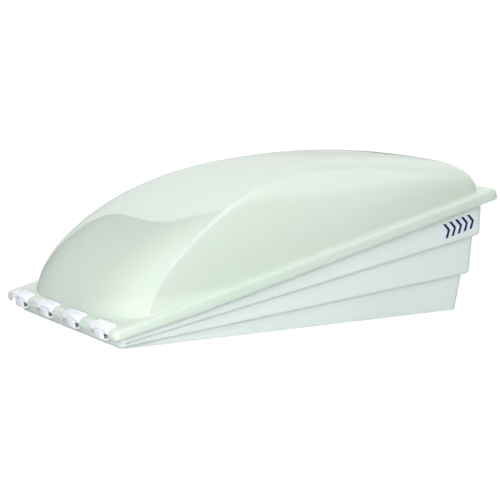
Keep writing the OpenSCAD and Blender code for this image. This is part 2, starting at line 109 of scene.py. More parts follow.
# Planes between the tiers fan out from the front: [height at s = 0, slope]
TIER_PLANE = [[0.0, 0.0], [4.0, 0.089], [11.7, 0.1755], [RIM_Z0 + FLANGE_LOW / COS_TILT, RIM_SLOPE]]

# Dome: an arch across, cut by a front slope whose foot is bowed
DOME_TOP = 317.0
DOME_REAR_S = BASE_L + 52.0
DOME_HALF_W = 237.0
DOME_CORNER_R = 28.0
DOME_END_L = 43.0
DOME_END_POWER = 2.6
DOME_END_ROOT = 0.55
ARCH_POWER_FRONT = 2.5
ARCH_POWER_REAR = 3.6
ARCH_CHANGE_S = 450.0
ARCH_CHANGE_L = 330.0
CROWN_S = 480.0
CROWN_L = 300.0
CROWN_DROP = 16.0
SLOPE_L = 620.0
SLOPE_ROOT = 0.6
SLOPE_TOP = DOME_TOP - 1.5
SLOPE_FOOT_FADE_L = 250.0
BOW_DEPTH = 40.0
BOW_HALF_W = 225.0
BOW_POWER = 5
BOW_FADE_L = 400.0
# The CAD's crease and foot are sharp
CREASE_W = 9.0
FILLET_R = 4.0

# Hinges
CLIP_W = 78.0
CLIP_X = [124.0 * (k - 1.5) for k in range(4)]
CLIP_T = 2.2
CLIP_REAR = -5.0
RIDGE_R = 2.6
BARREL_R = 3.4
PIN_R = 1.5
PIN_GAP = 0.05
BASE_KNUCKLE_W = 36.0
KNUCKLE_GAP = 0.4
ARM_LOW = 14.0
HINGE_P = -24.2
HINGE_N = -6.5
HINGE_S = HINGE_P * COS_TILT - HINGE_N * SIN_TILT
HINGE_Z = RIM_Z0 + HINGE_P * SIN_TILT + HINGE_N * COS_TILT
NOTCH_W = CLIP_W + 5.0
NOTCH_REAR = -17.5

# Latches
LATCH_X = 150.0
LATCH_P = (BASE_L + 66.0) / COS_TILT
STUD_R = 3.0
STUD_HOLE_R = STUD_R + 0.06
INSERT_R = 5.0
INSERT_HOLE_R = INSERT_R + 0.05
INSERT_LOW = -15.0

# Air outlet: the tier whose rear wall each louvre is in, and its height
LOUVRE_PLACES = {"upper": (2, 188.0), "lower": (1, 114.0)}
LOUVRE_W = 392.0
LOUVRE_H = 38.0
LOUVRE_FACE = 2.6
LOUVRE_SCREW_X = (-LOUVRE_W / 2 + 40.0, 0.0, LOUVRE_W / 2 - 40.0)
LOUVRE_SCREW_RISE = 22.5
TRACK_SCREW_X = 212.0
TRACK_SCREW_RISE = 16.0
SCREEN_BAR_HALF_W = 6.1
WIRE_PITCH = 2.6
WIRE_HALF = 0.22

# Mounting brackets: bolts at x = +-BOSS_FACE_X, and the bosses that take them
BOSS_FACE_X = 217.0
BOSS_R = 9.0
BOSS_L = 9.8
BRACKET_S = (330.0, 730.0)
BRACKET_BOLT_Z = 15.0
BOLT_R = 2.5
BRACKET_INSERT_R = 4.0
BRACKET_INSERT_HOLE_R = BRACKET_INSERT_R + 0.05


def rim_z(s):
    return RIM_Z0 + RIM_SLOPE * s


def along_rim(s):
    """Distance up the rim plane to s, to a tenth of a millimetre."""
    return round(10 * s / COS_TILT) / 10


def level_z(k, s):
    """Height of the plane below tier k."""
    return TIER_PLANE[k][0] + TIER_PLANE[k][1] * s


def on_rim(x, p, n):
    """Points of the rim plane's frame as an array of [x, s, z]."""
    x, p, n = np.broadcast_arrays(x, p, n)
    return np.stack([x, p * COS_TILT - n * SIN_TILT, RIM_Z0 + p * SIN_TILT + n * COS_TILT], -1)


def shift(x, y, z):
    """A move in millimetres, as a matrix in metres."""
    return Matrix.Translation(Vector((x, y, z)) * MM)


def turn(degrees, axis):
    return Matrix.Rotation(math.radians(degrees), 4, axis)


S_TO_Y = shift(0, -ORIGIN_S, 0)


def rim_matrix(x, p, n):
    """Local Z square to the rim plane, local Y up its slope."""
    return shift(*(on_rim(x, p, n) - [0, ORIGIN_S, 0])) @ Matrix.Rotation(RIM_TILT, 4, "X")


def wall_matrix(k, z):
    """Middle of tier k's rear wall at height z: local Y outwards, local Z up the leaning wall."""
    rise = level_z(k + 1, TIER_TOP[k][2]) - level_z(k, TIER_FOOT[k][2])
    lean = math.atan((TIER_TOP[k][2] - TIER_FOOT[k][2]) / rise)
    s = TIER_FOOT[k][2] + (z - level_z(k, TIER_FOOT[k][2])) * math.tan(lean)
    return shift(0, s - ORIGIN_S, z) @ Matrix.Rotation(-lean, 4, "X")


# ---- mesh helpers ----


def add_object(name, data):
    obj = bpy.data.objects.new(name, data)
    bpy.context.scene.collection.objects.link(obj)
    return obj


def make_object(name, verts, faces, matrix=None):
    """An object from vertices in millimetres, moved by matrix if there is one."""
    mesh = bpy.data.meshes.new(name)
    places = np.asarray(verts, float) * MM
    mesh.from_pydata([tuple(v) for v in places], [], [tuple(int(i) for i in f) for f in faces])
    if matrix is not None:
        mesh.transform(matrix)
    mesh.validate()
    return add_object(name, mesh)


def grid_faces(start, rows, cols, flip=False, closed=False):
    """Quads between neighbouring rows of points. A closed row runs on to its own first point."""
    faces = []
    for j in range(rows - 1):
        low = start + j * cols
        high = low + cols
        for i in range(cols if closed else cols - 1):
            k = (i + 1) % cols
            quad = [low + i, low + k, high + k, high + i]
            faces.append(quad[::-1] if flip else quad)
    return faces


def loop_faces(first, second, flip=False):
    """Quads between two closed loops of point numbers."""
    faces = []
    for k in range(len(first)):
        m = (k + 1) % len(first)
        quad = [first[m], first[k], second[k], second[m]]
        faces.append(quad[::-1] if flip else quad)
    return faces


def tidy_mesh(obj, merge=1e-6):
    """Merges points closer than merge metres, drops empty faces and turns all faces outwards."""
    bm = bmesh.new()
    bm.from_mesh(obj.data)
    bmesh.ops.remove_doubles(bm, verts=bm.verts, dist=merge)
    bmesh.ops.dissolve_degenerate(bm, edges=bm.edges, dist=merge)
    bmesh.ops.recalc_face_normals(bm, faces=bm.faces)
    bm.to_mesh(obj.data)
    bm.free()


def apply_modifiers(obj):
    bpy.context.view_layer.update()
    depsgraph = bpy.context.evaluated_depsgraph_get()
    mesh = bpy.data.meshes.new_from_object(obj.evaluated_get(depsgraph))
    obj.modifiers.clear()
    obj.data = mesh


def cut(obj, cutters, operation="DIFFERENCE"):
    """Cuts the cutters out of an object, or adds them to it with UNION, and removes them."""
    for cutter in cutters:
        mod = obj.modifiers.new("cut", "BOOLEAN")
        mod.operation = operation
        mod.solver = "EXACT"
        mod.object = cutter
    apply_modifiers(obj)
    for cutter in cutters:
        bpy.data.objects.remove(cutter)


def bevel(obj, width, segments, limit):
    """Rounds all edges sharper than limit degrees."""
    mod = obj.modifiers.new("bevel", "BEVEL")
    mod.width = width * MM
    mod.segments = segments
    mod.limit_method = "ANGLE"
    mod.angle_limit = math.radians(limit)
    apply_modifiers(obj)


def softened(node, name, width):
    """A copy of a CAD node's mesh with small rounded edges."""
    obj = add_object(name, frame["nodes"][node].data.copy())
    bm = bmesh.new()
    bm.from_mesh(obj.data)
    bmesh.ops.remove_doubles(bm, verts=bm.verts, dist=2e-6)
    bmesh.ops.dissolve_limit(bm, angle_limit=math.radians(0.6), verts=bm.verts, edges=bm.edges)
    bmesh.ops.recalc_face_normals(bm, faces=bm.faces)
    bm.to_mesh(obj.data)
    bm.free()
    bevel(obj, width, 2, 30.0)
    return obj


def box(name, low, high, matrix=None):
    (x0, y0, z0), (x1, y1, z1) = low, high
    verts = [(x, y, z) for z in (z0, z1) for y in (y0, y1) for x in (x0, x1)]
    faces = [(0, 2, 3, 1), (4, 5, 7, 6), (0, 1, 5, 4), (2, 6, 7, 3), (0, 4, 6, 2), (1, 3, 7, 5)]
    return make_object(name, verts, faces, matrix)


def stacked(name, rings, matrix=None):
    """Solid skinned over a stack of rings of points, with a flat face at each end."""
    count = len(rings[0])
    last = (len(rings) - 1) * count
    faces = grid_faces(0, len(rings), count, closed=True)
    faces += [list(range(count))[::-1], list(range(last, last + count))]
    obj = make_object(name, np.concatenate(rings), faces, matrix)
    tidy_mesh(obj)
    return obj


def turned(profile, segments):
    """A ring of points around Z for each (radius, height) of a profile."""
    angles = np.linspace(0, 2 * math.pi, segments, endpoint=False)
    return [np.stack([r * np.cos(angles), r * np.sin(angles), np.full(segments, h)], -1) for r, h in profile]


def lathe(name, profile, segments, matrix=None):
    """Turned solid, closed at both ends."""
    return stacked(name, turned(profile, segments), matrix)


def washer(outer_r, bore_r, low, high, edge=0.25):
    """Flat ring with rounded edges."""
    profile = [
        (bore_r, low + edge), (bore_r + edge, low), (outer_r - edge, low), (outer_r, low + edge),
        (outer_r, high - edge), (outer_r - edge, high), (bore_r + edge, high), (bore_r, high - edge),
        (bore_r, low + edge),
    ]
    segments = 40
    faces = grid_faces(0, len(profile), segments, closed=True)
    obj = make_object("washer", np.concatenate(turned(profile, segments)), faces)
    tidy_mesh(obj)
    return obj


def arc(y, z, r, start, stop, steps=24):
    """Points along an arc, from start to stop degrees."""
    return [(y + r * math.cos(a), z + r * math.sin(a)) for a in np.radians(np.linspace(start, stop, steps))]


def strip(outline, x, width, edge=0.4):
    """Bar of the given width along X, centred on x, from an outline of (y, z) points, with rounded edges."""
    obj = stacked("strip", [[(side, y, z) for y, z in outline] for side in (x - width / 2, x + width / 2)])
    bevel(obj, edge, 2, 40.0)
    return obj


def merged(name, meshes):
    """One object that holds several meshes."""
    mesh = bpy.data.meshes.new(name)
    bm = bmesh.new()
    for part in meshes:
        bm.from_mesh(part)
    bm.to_mesh(mesh)
    bm.free()
    return add_object(name, mesh)


def join(objects):
    """One object in place of several."""
    obj = merged("joined", [o.data for o in objects])
    for o in objects:
        bpy.data.objects.remove(o)
    return obj


def copies(name, template, matrices):
    """One object that holds the template's mesh at each matrix, in place of the template."""
    meshes = []
    for matrix in matrices:
        part = template.data.copy()
        part.transform(matrix)
        meshes.append(part)
    obj = merged(name, meshes)
    for part in meshes:
        bpy.data.meshes.remove(part)
    bpy.data.objects.remove(template)
    return obj


def piece(obj, body, material, slot_name, *nodes, degrees=30.0):
    """Finishes a piece: its material, sharp edges, body and the CAD nodes it stands for. The finish slot
    name is not used.
    """
    obj.data.materials.clear()
    obj.data.materials.append(material)
    obj.data.shade_smooth()
    obj.data.set_sharp_from_angle(angle=math.radians(degrees))
    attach(obj, body)
    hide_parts(*nodes)


# ---- materials ----


class Nodes:
    """Short calls for building a node tree."""

    def __init__(self, tree):
        self.tree = tree

    def put(self, node, key, value):
        """Gives a node's input a fixed value or another node's output."""
        if isinstance(value, bpy.types.NodeSocket):
            self.tree.links.new(value, node.inputs[key])
        else:
            node.inputs[key].default_value = value

    def add(self, kind, **inputs):
        """New node. An input's name is written with _ for each space."""
        node = self.tree.nodes.new(kind)
        for key, value in inputs.items():
            self.put(node, key.replace("_", " "), value)
        return node

    def span(self, value, low_in, high_in, low, high):
        """Maps low_in..high_in to low..high."""
        node = self.add(
            "ShaderNodeMapRange", Value=value, From_Min=low_in, From_Max=high_in, To_Min=low, To_Max=high
        )
        return node.outputs[0]

    def ramp(self, value, start, stop):
        """Smooth step from 0 at start to 1 at stop."""
        node = self.add("ShaderNodeMapRange", Value=value, From_Min=start, From_Max=stop)
        node.interpolation_type = "SMOOTHSTEP"
        return node.outputs[0]

    def math(self, operation, *values):
        node = self.tree.nodes.new("ShaderNodeMath")
        node.operation = operation
        for k, value in enumerate(values):
            self.put(node, k, value)
        return node.outputs[0]

    def blend(self, share, first, second):
        """Colour that is second by the given share and first for the rest."""
        node = self.tree.nodes.new("ShaderNodeMix")
        node.data_type = "RGBA"
        sockets = {0: share, 6: first, 7: second}
        for key, value in sockets.items():
            self.put(node, key, value)
        return node.outputs[2]

    def mix(self, share, first, second):
        """Shader that is second by the given share and first for the rest."""
        node = self.tree.nodes.new("ShaderNodeMixShader")
        for key, value in enumerate((share, first, second)):
            self.put(node, key, value)
        return node.outputs[0]

    def split(self, vector):
        return self.add("ShaderNodeSeparateXYZ", Vector=vector).outputs

    def is_ray(self, kind):
        """1 for rays of that kind, 0 for others."""
        return self.add("ShaderNodeLightPath").outputs[f"Is {kind} Ray"]


class Material(Nodes):
    """A new node material whose patterns lie in the object's own coordinates."""

    def __init__(self, name):
        self.mat = bpy.data.materials.new(name)
        self.mat.use_nodes = True
        super().__init__(self.mat.node_tree)
        self.bsdf = self.tree.nodes["Principled BSDF"]
        self.coord = self.add("ShaderNodeTexCoord").outputs["Object"]

    def noise(self, scale, detail=3.0, rough=0.5, stretch=None):
        source = self.coord
        if stretch is not None:
            source = self.add("ShaderNodeMapping", Vector=source, Scale=stretch).outputs[0]
        node = self.add("ShaderNodeTexNoise", Vector=source, Scale=scale, Detail=detail, Roughness=rough)
        return node.outputs["Fac"]

    def bump(self, height, strength, distance):
        return self.add("ShaderNodeBump", Height=height, Strength=strength, Distance=distance).outputs[0]

    def set(self, **inputs):
        for key, value in inputs.items():
            self.put(self.bsdf, key.replace("_", " "), value)

    def show(self, shader):
        """Puts a shader on the surface in place of the plain one."""
        self.put(self.tree.nodes["Material Output"], "Surface", shader)


def grey(value):
    return (value, value, value, 1.0)


WHITE = grey(1.0)


def linear(value):
    """Linear light from a 0-255 value as it looks."""
    return value / 255 / 12.92 if value <= 10 else ((value / 255 + 0.055) / 1.055) ** 2.4


def rgb(r, g, b):
    """Linear colour from the 0-255 values it should look like."""
    return (linear(r), linear(g), linear(b), 1.0)


def plastic(name, colour, shade, rough, peel, dust, subsurface=0.0):
    """Moulded plastic: cloudy colour, faint flow streaks, orange-peel gloss and dust settled in patches."""
    m = Material(name)
    cloud = m.noise(5.0, 4.0)
    streak = m.noise(3.0, 3.0, stretch=(1.0, 0.15, 1.0))
    body = m.blend(m.span(cloud, 0.35, 0.65, 0.0, 1.0), colour, shade)
    specks = m.noise(160.0, 2.0)
    dusty = m.math("MULTIPLY", m.span(specks, 0.35, 0.8, 0.0, 1.0), m.span(streak, 0.4, 0.7, 0.0, dust))
    m.set(Base_Color=m.blend(dusty, body, tuple(c * 0.86 for c in shade[:3]) + (1.0,)))
    m.set(Roughness=m.span(m.noise(38.0, 4.0, 0.6), 0.3, 0.7, rough * 0.8, rough * 1.3))
    fine = m.noise(900.0, 2.0)
    coarse = m.noise(70.0, 2.0)
    m.set(Normal=m.bump(m.math("ADD", m.math("MULTIPLY", fine, 0.25), coarse), peel, 0.0005))
    if subsurface:
        m.set(Subsurface_Weight=subsurface, Subsurface_Scale=0.004, Subsurface_Radius=(1.0, 1.0, 0.9))
    return m.mat


def painted_crease_highlight(m):
    """Share of the painted crease highlight: 1 along the dome's front crease, fading out beside it and up
    towards the crown.
    """
    gap = m.add("ShaderNodeAttribute")
    gap.attribute_name = "crease_gap"
    line = m.span(m.math("ABSOLUTE", gap.outputs["Fac"]), 1.6, 5.5, 1.0, 0.0)
    return m.math("MULTIPLY", line, m.span(m.split(m.coord)["Y"], -0.24, -0.04, 1.0, 0.0))


def frosted_lid():
    """Thermoformed translucent sheet: light comes through, the inside shows faintly, the skin is glossy, and
    a highlight is painted white along the front crease.
    """
    m = Material("frosted_lid_sheet")
    facing = m.add("ShaderNodeLayerWeight", Blend=0.35).outputs["Facing"]
    cloud = m.span(m.noise(3.2, 4.0), 0.35, 0.65, 0.0, 1.0)
    tone = m.blend(cloud, rgb(243, 250, 242), rgb(239, 249, 238))
    tone = m.blend(m.span(facing, 0.72, 0.95, 0.0, 0.75), tone, rgb(150, 182, 164))
    # Painted highlight: the sheet's colour turns white along the front crease
    m.set(Base_Color=m.blend(painted_crease_highlight(m), tone, WHITE), IOR=1.5)
    m.set(Roughness=m.span(m.noise(26.0, 4.0, 0.6), 0.3, 0.7, 0.02, 0.04))
    fine = m.noise(520.0, 2.0)
    ripple = m.noise(5.0, 1.0, 0.3)
    m.set(Normal=m.bump(m.math("ADD", m.math("MULTIPLY", fine, 0.02), ripple), 0.06, 0.0015))
    haze = m.add("ShaderNodeBsdfTranslucent", Color=rgb(228, 241, 230)).outputs[0]
    thickness = m.noise(2.0, 3.0, stretch=(1.0, 0.35, 1.0))
    sheet = m.mix(m.span(thickness, 0.3, 0.7, 0.2, 0.27), m.bsdf.outputs[0], haze)
    clear = m.add("ShaderNodeBsdfTransparent", Color=rgb(240, 247, 241)).outputs[0]
    m.show(m.mix(m.span(facing, 0.0, 0.8, 0.3, 0.08), sheet, clear))
    return m.mat


def metal(name, colour, rough, brush=(1.0, 1.0, 40.0), tarnish=(0.35, 0.33, 0.3, 1.0)):
    """Brushed metal with drawn lines and a patchy film of tarnish."""
    m = Material(name)
    lines = m.noise(90.0, 4.0, 0.6, stretch=brush)
    patches = m.span(m.noise(60.0, 4.0, 0.6), 0.5, 0.75, 0.0, 0.35)
    m.set(Base_Color=m.blend(patches, colour, tarnish), Metallic=1.0)
    m.set(Roughness=m.span(lines, 0.3, 0.7, rough * 0.75, rough * 1.4))
    m.set(Normal=m.bump(lines, 0.1, 0.0002))
    return m.mat


def foam():
    """Closed-cell foam with small round cells."""
    m = Material("closed_cell_foam")
    cells = m.add("ShaderNodeTexVoronoi", Vector=m.coord, Scale=900.0).outputs["Distance"]
    m.set(Base_Color=m.blend(m.noise(40.0), rgb(206, 212, 211), rgb(186, 192, 191)), Roughness=0.85)
    m.set(Normal=m.bump(cells, 0.5, 0.0006))
    return m.mat


def printed_film():
    """Dark blue printed film with a fine grain."""
    m = Material("printed_film")
    grain = m.noise(300.0, 3.0)
    m.set(Base_Color=m.blend(m.span(grain, 0.45, 0.75, 0.0, 0.6), rgb(16, 20, 96), rgb(40, 44, 122)))
    m.set(Roughness=m.span(m.noise(50.0), 0.3, 0.7, 0.3, 0.5), Normal=m.bump(grain, 0.08, 0.0002))
    return m.mat


def glass_fibre():
    """Coated grey thread of an insect mesh."""
    m = Material("insect_mesh_fibre")
    m.set(Base_Color=m.blend(m.noise(150.0), rgb(96, 100, 102), rgb(66, 70, 72)), Roughness=0.6)
    m.set(Normal=m.bump(m.noise(2500.0), 0.3, 0.0002))
    return m.mat


BASE_PLASTIC = plastic(
    "base_polyethylene", rgb(226, 234, 232), rgb(221, 231, 228), rough=0.36, peel=0.03, dust=0.08,
    subsurface=0.1,
)
LID_PLASTIC = frosted_lid()
CLIP_PLASTIC = plastic(
    "clip_nylon", rgb(247, 247, 252), rgb(240, 240, 247), rough=0.36, peel=0.06, dust=0.08
)
TRIM_PLASTIC = plastic(
    "trim_plastic", rgb(236, 239, 239), rgb(226, 230, 230), rough=0.42, peel=0.25, dust=0.35
)
STEEL = metal("stainless_steel", (0.62, 0.62, 0.63, 1.0), 0.28)
ALUMINIUM = metal("aluminium_sheet", (0.72, 0.73, 0.74, 1.0), 0.36, brush=(1.0, 30.0, 1.0))
BRASS = metal("turned_brass", (0.68, 0.5, 0.22, 1.0), 0.3, tarnish=(0.28, 0.18, 0.08, 1.0))
FOAM = foam()
RUBBER = plastic("black_rubber", grey(0.02), (0.035, 0.035, 0.033, 1.0), rough=0.7, peel=0.4, dust=0.25)
FILM = printed_film()
FIBRE = glass_fibre()

# ---- lid ----

DOME_COLUMNS = 200
DOME_ROWS = 220
# Share of the wall by which the inner skin's front slope lies lower
INNER_SLOPE_DROP = 0.6
# How far the dome's skin stays above its border
SKIN_CLEARANCE = 0.15
# The sides' points are spread by this power of the sine, closer together at the foot
COLUMN_SPREAD = 0.8
LIP_ROUND = 0.5
# The painted crease highlight ends at this s and this near the rim plane; NO_CREASE is the gap given
# elsewhere
CREASE_END_S = 400.0
CREASE_LOW = 3.0
NO_CREASE = 50.0


def bow(x):
    """How far the foot of the front slope is swept back at x."""
    return BOW_DEPTH * (np.abs(x) / BOW_HALF_W) ** BOW_POWER


def front_slope_z(u, swept):
    """Height of the front slope at u behind its foot, where the foot is swept back by the given length."""
    t = np.clip(u / SLOPE_L, 0, 1)
    foot = rim_z(swept * np.maximum(0, 1 - u / SLOPE_FOOT_FADE_L))
    return foot + (SLOPE_TOP - foot) * (1 - (1 - t) ** 2) ** SLOPE_ROOT


def dome_half(s, half_w, rear):
    """Half width of the dome's foot at s, with rounded rear corners."""
    past = np.maximum(0, s - rear + DOME_CORNER_R)
    return half_w - DOME_CORNER_R + np.sqrt(np.maximum(0, DOME_CORNER_R**2 - past * past))


def arch_z(x, s, inset):
    """Height of the arch: a superellipse across, with a falling crown and a rounded rear end."""
    rear = DOME_REAR_S - inset
    half = dome_half(s, DOME_HALF_W - inset, rear)
    t = np.clip((s - ARCH_CHANGE_S) / ARCH_CHANGE_L, 0, 1)
    power = ARCH_POWER_FRONT + (ARCH_POWER_REAR - ARCH_POWER_FRONT) * t * t * (3 - 2 * t)
    crown = DOME_TOP - CROWN_DROP * (np.maximum(0, s - CROWN_S) / CROWN_L) ** 2
    end = np.clip((s - rear + DOME_END_L) / DOME_END_L, 0, 1)
    top = (crown - inset - rim_z(s)) * np.maximum(0, 1 - end**DOME_END_POWER) ** DOME_END_ROOT
    return rim_z(s) + top * np.maximum(0, 1 - np.minimum(1, np.abs(x) / half) ** power) ** (1 / power)


def soft_min(a, b, width):
    """The lower of a and b, with the crease between them rounded."""
    near = np.maximum(0, 1 - np.abs(a - b) / width)
    return np.minimum(a, b) - near * near * width / 4


def crease_gap(verts):
    """Height of the arch above the front slope at each [x, s, z]: zero on the front part of the crease."""
    x, s, z = verts.T
    gap = arch_z(x, s, 0.0) - front_slope_z(s - bow(x), bow(x))
    return np.where((s < CREASE_END_S) & (z > rim_z(s) + CREASE_LOW), gap, NO_CREASE)


def dome_grid(inset):
    """Rows of [x, s, z] on the dome's skin. Its border stands FILLET_R above the rim plane."""
    a = np.linspace(0, 1, DOME_COLUMNS + 1)[None, :]
    b = np.linspace(0, 1, DOME_ROWS + 1)[:, None]
    run = inset + (DOME_REAR_S - 2 * inset) * (1 - np.cos(math.pi * b)) / 2
    angle = math.pi * a - math.pi / 2
    half = dome_half(run, DOME_HALF_W - inset, DOME_REAR_S - inset)
    x = np.sign(angle) * np.abs(np.sin(angle)) ** COLUMN_SPREAD * half
    s = run + bow(x) * np.maximum(0, 1 - run / BOW_FADE_L) ** 2
    slope = front_slope_z(s - bow(x) - inset, bow(x)) - INNER_SLOPE_DROP * inset
    z = soft_min(arch_z(x, s, inset), slope, CREASE_W)
    foot = rim_z(s) + FILLET_R / COS_TILT
    z = np.maximum(z, foot + SKIN_CLEARANCE)
    for side in (np.s_[0, :], np.s_[-1, :], np.s_[:, 0], np.s_[:, -1]):
        z[side] = foot[side]
    return np.stack([np.broadcast_to(x, z.shape), s, z], -1)


def border(grid):
    """Point numbers along a grid's border and their count per side: front, right, rear, left."""
    rows, cols = grid.shape[:2]
    sides = [
        list(range(cols - 1)),
        [j * cols + cols - 1 for j in range(rows - 1)],
        [(rows - 1) * cols + i for i in range(cols - 1, 0, -1)],
        [j * cols for j in range(rows - 1, 0, -1)],
    ]
    return sum(sides, []), [len(side) for side in sides]


def outward(loop):
    """Unit directions pointing out of a closed loop of (x, p) points."""
    along = np.roll(loop, -1, 0) - np.roll(loop, 1, 0)
    normal = np.stack([along[:, 1], -along[:, 0]], -1)
    return normal / np.linalg.norm(normal, axis=1)[:, None]


def rounded(x, p, half, front, rear, r):
    """Moves points on a sharp rectangle's edge onto its rounded corners of radius r."""
    x, p = x.copy(), p.copy()
    for sx in (-1, 1):
        for end, sp in ((front, -1), (rear, 1)):
            centre_x, centre_p = sx * (half - r), end - sp * r
            dx, dp = (x - centre_x) * sx, (p - centre_p) * sp
            near = (dx > 0) & (dp > 0)
            on_side = dx >= r - 1e-6
            angle = np.where(on_side, dp / r * math.pi / 4, math.pi / 2 - dx / r * math.pi / 4)
            x[near] = (centre_x + sx * r * np.cos(angle))[near]
            p[near] = (centre_p + sp * r * np.sin(angle))[near]
    return x, p


def rim_loop(foot, counts, inset):
    """The rim's outline drawn in by inset, with one point for each point of the dome's foot loop."""
    half = RIM_HALF_W - inset
    front = RIM_FRONT_P + inset
    rear = RIM_REAR_S / COS_TILT - inset
    corners = [(-half, front), (half, front), (half, rear), (-half, rear), (-half, front)]
    cuts = np.concatenate([[0], np.cumsum(counts)])
    x = np.empty(len(foot))
    p = np.empty(len(foot))
    for side in range(4):
        part = slice(cuts[side], cuts[side + 1])
        start = foot[cuts[side]]
        stop = foot[cuts[side + 1] % len(foot)]
        axis = side % 2
        t = (foot[part][:, axis] - start[axis]) / (stop[axis] - start[axis])
        (xa, pa), (xb, pb) = corners[side], corners[side + 1]
        x[part] = xa + (xb - xa) * t
        p[part] = pa + (pb - pa) * t
    return rounded(x, p, half, front, rear, max(RIM_CORNER_R - inset, 2.0))


def skirt_depth(p):
    return SKIRT_FRONT_H + (SKIRT_H - SKIRT_FRONT_H) * np.clip((p - RIM_FRONT_P) / SKIRT_DEEPENS_OVER, 0, 1)


def lid_side(inset):
    """One skin: the dome's grid and the rings from its foot over the flange and down the skirt."""
    grid = dome_grid(inset)
    order, counts = border(grid)
    edge = grid.reshape(-1, 3)[order]
    foot = np.stack([edge[:, 0], (edge[:, 1] + (edge[:, 2] - rim_z(0)) * RIM_SLOPE) * COS_TILT], -1)
    away = outward(foot)
    rings = []
    fillet = FILLET_R + inset
    for angle in np.radians(np.linspace(18, 90, 5)):
        spread = foot + away * fillet * (1 - math.cos(angle))
        rings.append(on_rim(spread[:, 0], spread[:, 1], FILLET_R - fillet * math.sin(angle)))
    r = RIM_EDGE_R - inset
    for angle in np.radians(np.linspace(0, 90, 7)):
        x, p = rim_loop(foot, counts, inset + r * (1 - math.sin(angle)))
        rings.append(on_rim(x, p, -inset - r * (1 - math.cos(angle))))
    rounding = -LIP_ROUND if inset else LIP_ROUND
    for share, drawn_in in ((0.5, 0.0), (0.97, 0.0), (1.0, rounding)):
        x, p = rim_loop(foot, counts, inset - RIM_DRAFT * share + drawn_in)
        rings.append(on_rim(x, p, -skirt_depth(p) * share))
    return grid, order, rings


def lid_mesh():
    """Outer and inner skin, joined along the skirt's lower edge."""
    verts, faces, edges = [], [], []
    for inset in (0.0, WALL):
        grid, order, rings = lid_side(inset)
        start = len(verts)
        verts += list(grid.reshape(-1, 3))
        faces += grid_faces(start, *grid.shape[:2], flip=inset > 0)
        loop = [start + k for k in order]
        for ring in rings:
            below = list(range(len(verts), len(verts) + len(ring)))
            verts += list(ring)
            faces += loop_faces(loop, below, flip=inset > 0)
            loop = below
        edges.append(loop)
    faces += loop_faces(*edges)
    obj = make_object("lid_moulding", verts, faces, S_TO_Y)
    # The crease gap steers where the lid's material paints its crease highlight white
    gap = obj.data.attributes.new("crease_gap", "FLOAT", "POINT")
    gap.data.foreach_set("value", crease_gap(np.array(verts)).astype(np.float32))
    tidy_mesh(obj)
    return obj


def build_lid():
    """The lid with a notch round each clip and a hole for each latch stud."""
    lid = lid_mesh()
    cutters = []
    for x in CLIP_X:
        low = (x - NOTCH_W / 2, RIM_FRONT_P - 6.0, -SKIRT_H - 2.0)
        cutters.append(box("notch", low, (x + NOTCH_W / 2, NOTCH_REAR, 2.0), rim_matrix(0, 0, 0)))
    for x in (-LATCH_X, LATCH_X):
        bore = [(STUD_HOLE_R, -10), (STUD_HOLE_R, 10)]
        cutters.append(lathe("hole", bore, 32, rim_matrix(x, LATCH_P, 0)))
    cut(lid, cutters)
    piece(lid, "lid", LID_PLASTIC, "lid_plastic", "lid_shell", degrees=60.0)


# ---- base ----

SIDE_STEPS = 40
CORNER_STEPS = 12
ROUND_STEPS = 4
# How far each rounding reaches from its corner, at most a share of the wall beside it
ROOF_EDGE_ROUND = 1.2
LEDGE_FOOT_ROUND = 8.0
LEDGE_TOP_ROUND = 3.5
FLANGE_ROUND = 1.0
INSIDE_ROUND = 1.5
MOST_ROUNDED = 0.42


def plan_loop(half, front, rear, r):
    """Rounded rectangle as (x, s) points, the same count for every size."""
    points = []
    corners = [
        (half - r, front + r, -90),
        (half - r, rear - r, 0),
        (r - half, rear - r, 90),
        (r - half, front + r, 180),
    ]
    for k, (cx, cs, start) in enumerate(corners):
        for a in np.radians(np.linspace(start, start + 90, CORNER_STEPS + 1)):
            points.append((cx + r * math.cos(a), cs + r * math.sin(a)))
        next_x, next_s, _ = corners[(k + 1) % 4]
        a = math.radians(start + 90)
        begin = np.array(points[-1])
        end = np.array([next_x + r * math.cos(a), next_s + r * math.sin(a)])
        for t in np.linspace(0, 1, SIDE_STEPS + 1)[1:-1]:
            points.append(tuple(begin + (end - begin) * t))
    return np.array(points)


def plane_ring(k, outline, inset=0.0, lift=0.0):
    """Ring on the plane below tier k, for an outline [half width, front s, rear s]."""
    half, front, rear = outline
    loop = plan_loop(half - inset, front + inset, rear - inset, TIER_CORNER_R - inset)
    return np.stack([loop[:, 0], loop[:, 1], level_z(k, loop[:, 1]) + lift], -1)


def flange_ring(outline, n):
    """Ring at height n over the rim plane, for an outline (half width, front p, rear p, corner radius)."""
    loop = plan_loop(*outline)
    return on_rim(loop[:, 0], loop[:, 1], n)


def round_section(corners):
    """Rounds a closed cross-section of (ring, reach) corners, where reach is how far the rounding goes."""
    rings = [ring for ring, _ in corners]
    out = []
    for k, (here, reach) in enumerate(corners):
        ends = []
        for beside in (rings[k - 1], rings[(k + 1) % len(rings)]):
            length = np.linalg.norm(beside - here, axis=1)[:, None]
            step = np.minimum(reach, MOST_ROUNDED * length)
            ends.append(here + (beside - here) / np.maximum(length, 1e-9) * step)
        start, stop = ends
        for t in np.linspace(0, 1, ROUND_STEPS + 1):
            out.append(start * (1 - t) ** 2 + 2 * here * t * (1 - t) + stop * t * t)
    return out


